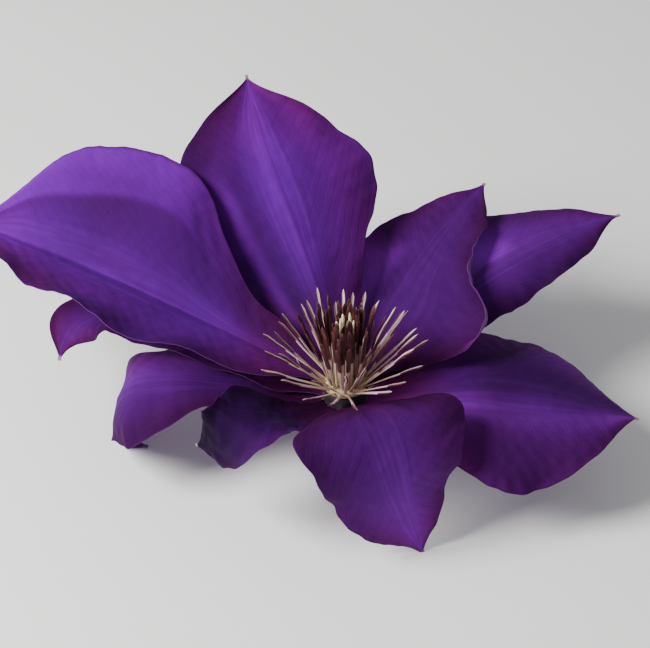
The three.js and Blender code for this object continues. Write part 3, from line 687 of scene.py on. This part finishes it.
def whorl_tree():
    """Copies of a template round the axis, each leaning out at its own angle and curling upwards."""
    tree, of, result = new_geometry_tree("whorl", {
        "Template": "Object", "Count": "Int", "Foot radius": "Float", "Foot height": "Float",
        "Lift": "Float", "Lift spread": "Float", "Length": "Float", "Length spread": "Float",
        "Curl": "Float", "Crowding": "Float", "Seed": "Int",
    })
    points = add_node(tree, "GeometryNodePoints", {"Count": of["Count"]}).outputs[0]
    number = add_node(tree, "GeometryNodeInputIndex").outputs["Index"]

    def chance(low, high, seed):
        return random_value(tree, low, high, plus(tree, of["Seed"], seed), number)

    angle = times(tree, plus(tree, number, chance(-0.28, 0.28, 0)), 2 * math.pi)
    angle = calculate(tree, "DIVIDE", angle, of["Count"])
    lift = plus(tree, of["Lift"], times(tree, chance(-1.0, 1.0, 11), of["Lift spread"]))
    length = plus(tree, of["Length"], times(tree, chance(-1.0, 1.0, 23), of["Length spread"]))
    foot = minus(tree, of["Foot radius"], times(tree, chance(0.0, 1.0, 31), of["Crowding"]))
    x = times(tree, foot, calculate(tree, "COSINE", angle))
    y = times(tree, foot, calculate(tree, "SINE", angle))
    feet = {"Geometry": points, "Position": vector_of(tree, x, y, of["Foot height"])}
    template = {"Object": of["Template"]}
    template = add_node(tree, "GeometryNodeObjectInfo", template, transform_space="ORIGINAL")
    copies = add_node(tree, "GeometryNodeInstanceOnPoints", {
        "Points": add_node(tree, "GeometryNodeSetPosition", feet).outputs[0],
        "Instance": template.outputs["Geometry"],
        "Rotation": vector_of(tree, chance(-0.5, 0.5, 47), times(tree, lift, -1.0), angle),
        "Scale": vector_of(tree, length, 1.0, 1.0),
    }).outputs[0]
    whole = add_node(tree, "GeometryNodeRealizeInstances", {"Geometry": copies}).outputs[0]

    # each copy curls upwards towards its end, and wanders a little
    here = add_node(tree, "GeometryNodeInputPosition").outputs["Position"]
    share = add_node(tree, "GeometryNodeInputNamedAttribute", {"Name": "length_share"}, data_type="FLOAT")
    share = share.outputs["Attribute"]
    squared = times(tree, share, share)
    drift = add_node(tree, "ShaderNodeTexNoise", {"Vector": here, "Scale": 0.16, "Detail": 1.0})
    drift = move_vector(tree, "SUBTRACT", {0: drift.outputs["Color"], 1: (0.5, 0.5, 0.5)})
    drift = move_vector(tree, "SCALE", {0: drift, "Scale": times(tree, squared, 1.5)})
    rise = vector_of(tree, 0.0, 0.0, times(tree, squared, of["Curl"]))
    curl = {"Geometry": whole, "Offset": move_vector(tree, "ADD", {0: drift, 1: rise})}
    in_metres = add_node(tree, "GeometryNodeTransform", {
        "Geometry": add_node(tree, "GeometryNodeSetPosition", curl).outputs[0],
        "Scale": (MM, MM, MM), "Translation": (centre_x, centre_y, 0),
    })
    end_tree(tree, result, in_metres.outputs[0], of["Finish"])
    return tree


def grown(name, tree, values, start=None):
    """The plain mesh that a geometry tree makes with these input values."""
    carrier = add_object(name + "_carrier", start or bpy.data.meshes.new(name + "_carrier"))
    modifier = carrier.modifiers.new("grow", "NODES")
    modifier.node_group = tree
    for item in tree.interface.items_tree:
        if item.in_out == "INPUT" and item.name in values:
            modifier[item.identifier] = values[item.name]
    bpy.context.view_layer.update()
    depsgraph = bpy.context.evaluated_depsgraph_get()
    mesh = bpy.data.meshes.new_from_object(carrier.evaluated_get(depsgraph))
    mesh.name = name
    carrier.modifiers.remove(modifier)
    bpy.data.objects.remove(carrier)
    return mesh


whorl = whorl_tree()


def whorl_mesh(name, finish, foot_height, length_spread, kind, count, foot, crowd, lift, spread, length,
               seed, curl=0.0):
    """One whorl of copies, with the lift and its spread in degrees."""
    return grown(name, whorl, {
        "Template": kind, "Finish": finish, "Count": count, "Foot radius": foot, "Foot height": foot_height,
        "Lift": math.radians(lift), "Lift spread": math.radians(spread), "Length": float(length),
        "Length spread": length_spread, "Curl": curl, "Crowding": crowd, "Seed": seed,
    })


def joined(name, meshes):
    """One object from several meshes that share their material slots."""
    parts = [add_object(name, mesh) for mesh in meshes]
    with bpy.context.temp_override(active_object=parts[0], selected_editable_objects=parts):
        bpy.ops.object.join()
    return parts[0]


def turned_mesh(name, profile, low, segments=64):
    """Closed solid of revolution from millimetre points (radius, height) that run anticlockwise."""
    vertices, faces = [], []
    count = len(profile)
    for i, (x, y) in enumerate(circle(segments)):
        after = (i + 1) % segments
        for k, (radius, height) in enumerate(profile):
            below = (k + 1) % count
            place = (centre_x + x * radius * MM, centre_y + y * radius * MM, (low + height) * MM)
            vertices.append(place)
            faces.append((i * count + k, after * count + k, after * count + below, i * count + below))
    mesh = bpy.data.meshes.new(name)
    mesh.from_pydata(vertices, [], faces)
    mesh.shade_smooth()
    return mesh


def stamen_material():
    material, tree, shader, place = new_material("stamen_skin")
    patch = noise(tree, place, 320.0, 3.0, 0.6)
    wide = noise(tree, place, 90.0, 2.0, 0.5)
    cream, pink, rose = (0.46, 0.35, 0.22, 1), (0.66, 0.43, 0.52, 1), (0.36, 0.16, 0.2, 1)
    dark_maroon, red_maroon = (0.03, 0.004, 0.008, 1), (0.1, 0.018, 0.02, 1)
    colour = blend_colour(tree, ease(tree, attribute(tree, "length_share"), 0.12, 0.7), cream, pink)
    colour = blend_colour(tree, times(tree, ease(tree, wide, 0.45, 0.72), 0.5), colour, rose)
    maroon = blend_colour(tree, ease(tree, patch, 0.35, 0.7), dark_maroon, red_maroon)
    sac = plus(tree, attribute(tree, "anther"), times(tree, patch, 0.2))
    colour = blend_colour(tree, ease(tree, sac, 0.35, 0.75), colour, maroon)
    roughness = plus(tree, times(tree, patch, 0.3), 0.4)
    grain = noise(tree, place, 1800.0, 2.0, 0.6)
    finish_skin(tree, shader, colour, roughness, grain, strength=0.5, distance=0.12 * MM)
    soft = {"Subsurface Weight": 0.15, "Subsurface Radius": (1.0, 0.6, 0.4), "Subsurface Scale": 0.6 * MM}
    wire(tree, shader, soft)
    return material


stamen_skin = stamen_material()
ray = stamen_template("ray_template", 0.72, 1.0, anther_start=0.62, strip=0.62)
column = stamen_template("column_template", 0.7, 1.02, anther_start=0.46, strip=0.16)
WHORLS = [
    dict(kind=ray, count=18, foot=3.9, crowd=0.4, lift=34, spread=5, length=16.3, curl=0.4, seed=3),
    dict(kind=ray, count=16, foot=3.6, crowd=0.4, lift=50, spread=7, length=17.2, curl=0.4, seed=5),
    dict(kind=column, count=17, foot=3.3, crowd=0.4, lift=72, spread=6, length=18, seed=8),
    dict(kind=column, count=23, foot=3.2, crowd=0.5, lift=82, spread=4, length=18, seed=13),
    dict(kind=column, count=18, foot=2.6, crowd=0.4, lift=89, spread=3, length=18, seed=17),
]
meshes = [whorl_mesh("stamen_whorl", stamen_skin, RING_TOP, 1.2, **each) for each in WHORLS]

# the ring that the stamens grow from
ring_profile = [(2.3, 0.0), (4.4, 0.0), (4.5, 0.5), (4.1, 1.3), (3.2, 1.7), (2.3, 1.5)]
ring_mesh = turned_mesh("stamen_ring", ring_profile, CENTRE_HEIGHT)
label_mesh(ring_mesh, "anther", 0.0)
label_mesh(ring_mesh, "length_share", 0.1)
ring_mesh.materials.append(stamen_skin)
stamens = joined("stamen_boss", meshes + [ring_mesh])
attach(stamens, "root")
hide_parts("stamens")


# Styles
# A tuft of slender cream styles rises from the middle of the ring, silky with fine hairs below and
# ending in small pale stigmas level with the tips of the inner stamens.
STYLE_RADIUS = 0.34
STIGMA_SWELL = 0.13
STIGMA_TIP_RADIUS = 0.12
ON_AXIS = 0.001  # as near to the axis as a turned profile goes


def style_template(name):
    shares = [i / 13 for i in range(14)]
    outline = circle(9)
    rings = []
    for share in shares:
        swell = STIGMA_SWELL * math.exp(-(((share - 0.95) / 0.05) ** 2))
        radius = STYLE_RADIUS * (1.25 - 0.45 * share) + swell
        if share == 1:
            radius = STIGMA_TIP_RADIUS
        rings.append([(share, radius * side, radius * out) for side, out in outline])
    mesh = stacked_mesh(name, rings)
    label_mesh(mesh, "length_share", np.repeat(shares, len(outline)))
    return bpy.data.objects.new(name, mesh)


def style_material():
    material, tree, shader, place = new_material("style_skin")
    patch = noise(tree, place, 420.0, 3.0, 0.6)
    foot, top, rose = (0.4, 0.36, 0.2, 1), (0.82, 0.7, 0.5, 1), (0.5, 0.26, 0.2, 1)
    colour = blend_colour(tree, ease(tree, attribute(tree, "length_share"), 0.1, 0.9), foot, top)
    colour = blend_colour(tree, times(tree, ease(tree, patch, 0.5, 0.8), 0.35), colour, rose)
    roughness = plus(tree, times(tree, patch, 0.3), 0.35)
    grain = noise(tree, place, 2200.0, 2.0, 0.6)
    finish_skin(tree, shader, colour, roughness, grain, strength=0.4, distance=0.1 * MM)
    soft = {"Subsurface Weight": 0.15, "Subsurface Radius": (1.0, 0.8, 0.4), "Subsurface Scale": 0.6 * MM}
    wire(tree, shader, soft)
    return material


def hair_tree():
    """Fine tapered hairs scattered over a surface, leaning towards one direction."""
    tree, of, result = new_geometry_tree("hairs", {
        "Hairs per square millimetre": "Float", "Hair length": "Float", "Hair radius": "Float",
        "Lean": "Vector", "Lowest": "Float", "Highest": "Float", "Seed": "Int",
    })
    density = times(tree, of["Hairs per square millimetre"], 1 / MM**2)
    surface = {"Mesh": of["Geometry"], "Density": density, "Seed": of["Seed"]}
    scatter = add_node(tree, "GeometryNodeDistributePointsOnFaces", surface)
    place = add_node(tree, "GeometryNodeInputPosition").outputs["Position"]
    height = add_node(tree, "ShaderNodeSeparateXYZ", {0: place}).outputs["Z"]
    too_low = calculate(tree, "LESS_THAN", height, of["Lowest"])
    too_high = calculate(tree, "GREATER_THAN", height, of["Highest"])
    outside = calculate(tree, "MAXIMUM", too_low, too_high)
    bare = {"Geometry": scatter.outputs["Points"], "Selection": outside}
    cone = add_node(tree, "GeometryNodeMeshCone", {
        "Vertices": 3, "Side Segments": 2, "Radius Top": 0.0, "Radius Bottom": of["Hair radius"],
        "Depth": of["Hair length"],
    }, fill_type="NONE")
    untidy = {0: (-0.4, -0.4, -0.4), 1: (0.4, 0.4, 0.4), "Seed": of["Seed"]}
    untidy = add_node(tree, "FunctionNodeRandomValue", untidy, data_type="FLOAT_VECTOR").outputs[0]
    upward = move_vector(tree, "ADD", {0: scatter.outputs["Normal"], 1: of["Lean"]})
    upward = move_vector(tree, "ADD", {0: upward, 1: untidy})
    turn = add_node(tree, "FunctionNodeAlignRotationToVector", {"Vector": upward}, axis="Z")
    copies = add_node(tree, "GeometryNodeInstanceOnPoints", {
        "Points": add_node(tree, "GeometryNodeDeleteGeometry", bare, domain="POINT").outputs[0],
        "Instance": cone.outputs["Mesh"], "Rotation": turn.outputs["Rotation"],
        "Scale": vector_of(tree, 1.0, 1.0, random_value(tree, 0.55, 1.15, of["Seed"])),
    })
    end_tree(tree, result, copies.outputs[0], of["Finish"])
    return tree


def hair_material(name, colour):
    material, tree, shader, place = new_material(name)
    patch = noise(tree, place, 500.0, 2.0, 0.5)
    colour = blend_colour(tree, patch, tinted(colour, 0.7, 0.66, 0.6), colour)
    wire(tree, shader, {"Base Color": colour, "Roughness": 0.45})
    return material


style_skin = style_material()
slim = style_template("style_template")
STYLE_WHORLS = [
    dict(kind=slim, count=3, foot=0.7, crowd=0.3, lift=88, spread=2, length=17.8, seed=21),
    dict(kind=slim, count=6, foot=1.2, crowd=0.4, lift=87, spread=2, length=15.8, seed=22),
    dict(kind=slim, count=9, foot=1.8, crowd=0.4, lift=86, spread=2, length=12.0, seed=23),
]
meshes = [whorl_mesh("style_whorl", style_skin, RING_TOP + 0.6, 0.9, **each) for each in STYLE_WHORLS]
dome_profile = [(ON_AXIS, 0.0), (2.25, 0.0), (2.25, 0.8), (1.7, 1.8), (0.9, 2.3), (ON_AXIS, 2.5)]
dome_mesh = turned_mesh("style_dome", dome_profile, CENTRE_HEIGHT, segments=32)
label_mesh(dome_mesh, "length_share", 0.0)
dome_mesh.materials.append(style_skin)
styles = joined("style_tuft", meshes + [dome_mesh])
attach(styles, "root")
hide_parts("styles")

hairs = hair_tree()
silk_mesh = grown("style_silk", hairs, {
    "Finish": hair_material("style_silk", (0.85, 0.8, 0.66, 1)), "Hairs per square millimetre": 2.2,
    "Hair length": 1.7 * MM, "Hair radius": 0.035 * MM, "Lean": (0.0, 0.0, 1.6),
    "Lowest": (CENTRE_HEIGHT + 1) * MM, "Highest": (CENTRE_HEIGHT + 12) * MM, "Seed": 5,
}, styles.data.copy())
style_hairs = add_object("style_hairs", silk_mesh)
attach(style_hairs, "root")


# Receptacle and flower stalk
# The green swelling that carries every part, and the tough stalk under it, which bends over and lies
# on the floor to its cut end. The stalk is ribbed, both are bronzed in patches, and short down covers it.
HEAD_HEIGHT = 6.6
STALK_RADIUS = 1.35
STALK_SIDES = 48
STALK_PATH = [
    (0, 0, 21.5), (0.4, 1.2, 16.5), (2.6, 6.2, 9.6), (6.4, 14, 4.1), (10.2, 22.2, 1.75), (13.4, 30, 1.37),
    (16.2, 37.5, 1.37),
]


def stalk_tree():
    """A ribbed round stalk swept along the carrier's curve."""
    tree, of, result = new_geometry_tree("stalk", {
        "Stalk radius": "Float", "Step": "Float", "Ribs": "Int", "Rib depth": "Float",
    })
    path = {"Curve": of["Geometry"], "Length": of["Step"]}
    path = add_node(tree, "GeometryNodeResampleCurve", path, mode="LENGTH").outputs[0]
    round_section = {"Resolution": STALK_SIDES, "Radius": of["Stalk radius"]}
    round_section = add_node(tree, "GeometryNodeCurvePrimitiveCircle", round_section).outputs["Curve"]
    number = add_node(tree, "GeometryNodeInputIndex").outputs["Index"]
    around = times(tree, calculate(tree, "DIVIDE", number, float(STALK_SIDES)), 2 * math.pi)
    wave = calculate(tree, "COSINE", times(tree, around, of["Ribs"]))
    grow = minus(tree, 1.0, times(tree, of["Rib depth"], wave))
    here = add_node(tree, "GeometryNodeInputPosition").outputs["Position"]
    place = move_vector(tree, "SCALE", {0: here, "Scale": minus(tree, grow, of["Rib depth"])})
    ribbed = add_node(tree, "GeometryNodeSetPosition", {"Geometry": round_section, "Position": place})
    sweep = {"Curve": path, "Profile Curve": ribbed.outputs[0], "Fill Caps": True}
    end_tree(tree, result, add_node(tree, "GeometryNodeCurveToMesh", sweep).outputs[0], of["Finish"])
    return tree


def stalk_material():
    material, tree, shader, place = new_material("stalk_skin")
    patch = noise(tree, place, 120.0, 4.0, 0.6)
    fine = noise(tree, place, 1500.0, 3.0, 0.6)
    green, light_green, bronze = (0.06, 0.1, 0.03, 1), (0.15, 0.2, 0.07, 1), (0.16, 0.07, 0.06, 1)
    colour = blend_colour(tree, patch, green, light_green)
    colour = blend_colour(tree, times(tree, ease(tree, patch, 0.5, 0.75), 0.55), colour, bronze)
    height = add_node(tree, "ShaderNodeSeparateXYZ", {0: place}).outputs["Z"]
    # painted shade: the receptacle's upper part and the top of the stalk are painted nearly black
    painted_shade_near_boss = ease(tree, height, (CENTRE_HEIGHT - 6) * MM, (CENTRE_HEIGHT - 2.5) * MM)
    colour = blend_colour(tree, times(tree, painted_shade_near_boss, 0.95), colour, (0.016, 0.004, 0.018, 1))
    roughness = plus(tree, times(tree, fine, 0.3), 0.5)
    finish_skin(tree, shader, colour, roughness, fine, strength=0.5, distance=0.2 * MM)
    wire(tree, shader, {"Specular IOR Level": 0.2})
    return material


stalk_skin = stalk_material()
stalk_curve = bpy.data.curves.new("stalk_path", "CURVE")
stalk_curve.dimensions = "3D"
spline = stalk_curve.splines.new("BEZIER")
spline.bezier_points.add(len(STALK_PATH) - 1)
for node, (x, y, z) in zip(spline.bezier_points, STALK_PATH):
    node.co = (centre_x + x * MM, centre_y + y * MM, z * MM)
    node.handle_left_type = node.handle_right_type = "AUTO"
stalk_mesh = grown("stalk_stem", stalk_tree(), {
    "Finish": stalk_skin, "Stalk radius": STALK_RADIUS * MM, "Step": 0.7 * MM, "Ribs": 8, "Rib depth": 0.03,
}, stalk_curve)
head_profile = [
    (ON_AXIS, -0.8), (2.0, -0.6), (2.9, -0.1), (3.7, 0.6), (4.3, 1.4), (4.5, 2.2), (4.5, 5.2), (4.35, 5.9),
    (3.8, 6.4), (ON_AXIS, HEAD_HEIGHT),
]
head_mesh = turned_mesh("stalk_head", head_profile, CENTRE_HEIGHT - HEAD_HEIGHT)
head_mesh.materials.append(stalk_skin)
stalk = joined("flower_stalk_skin", [stalk_mesh, head_mesh])
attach(stalk, "root")
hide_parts("flower_stalk")

down_mesh = grown("stalk_down", hairs, {
    "Finish": hair_material("stalk_down", (0.62, 0.62, 0.5, 1)), "Hairs per square millimetre": 3.5,
    "Hair length": 0.55 * MM, "Hair radius": 0.02 * MM, "Lean": (0.0, 0.0, 0.3),
    "Lowest": 0.6 * MM, "Highest": (CENTRE_HEIGHT - 3) * MM, "Seed": 9,
}, stalk.data.copy())
stalk_hairs = add_object("stalk_hairs", down_mesh)
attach(stalk_hairs, "root")
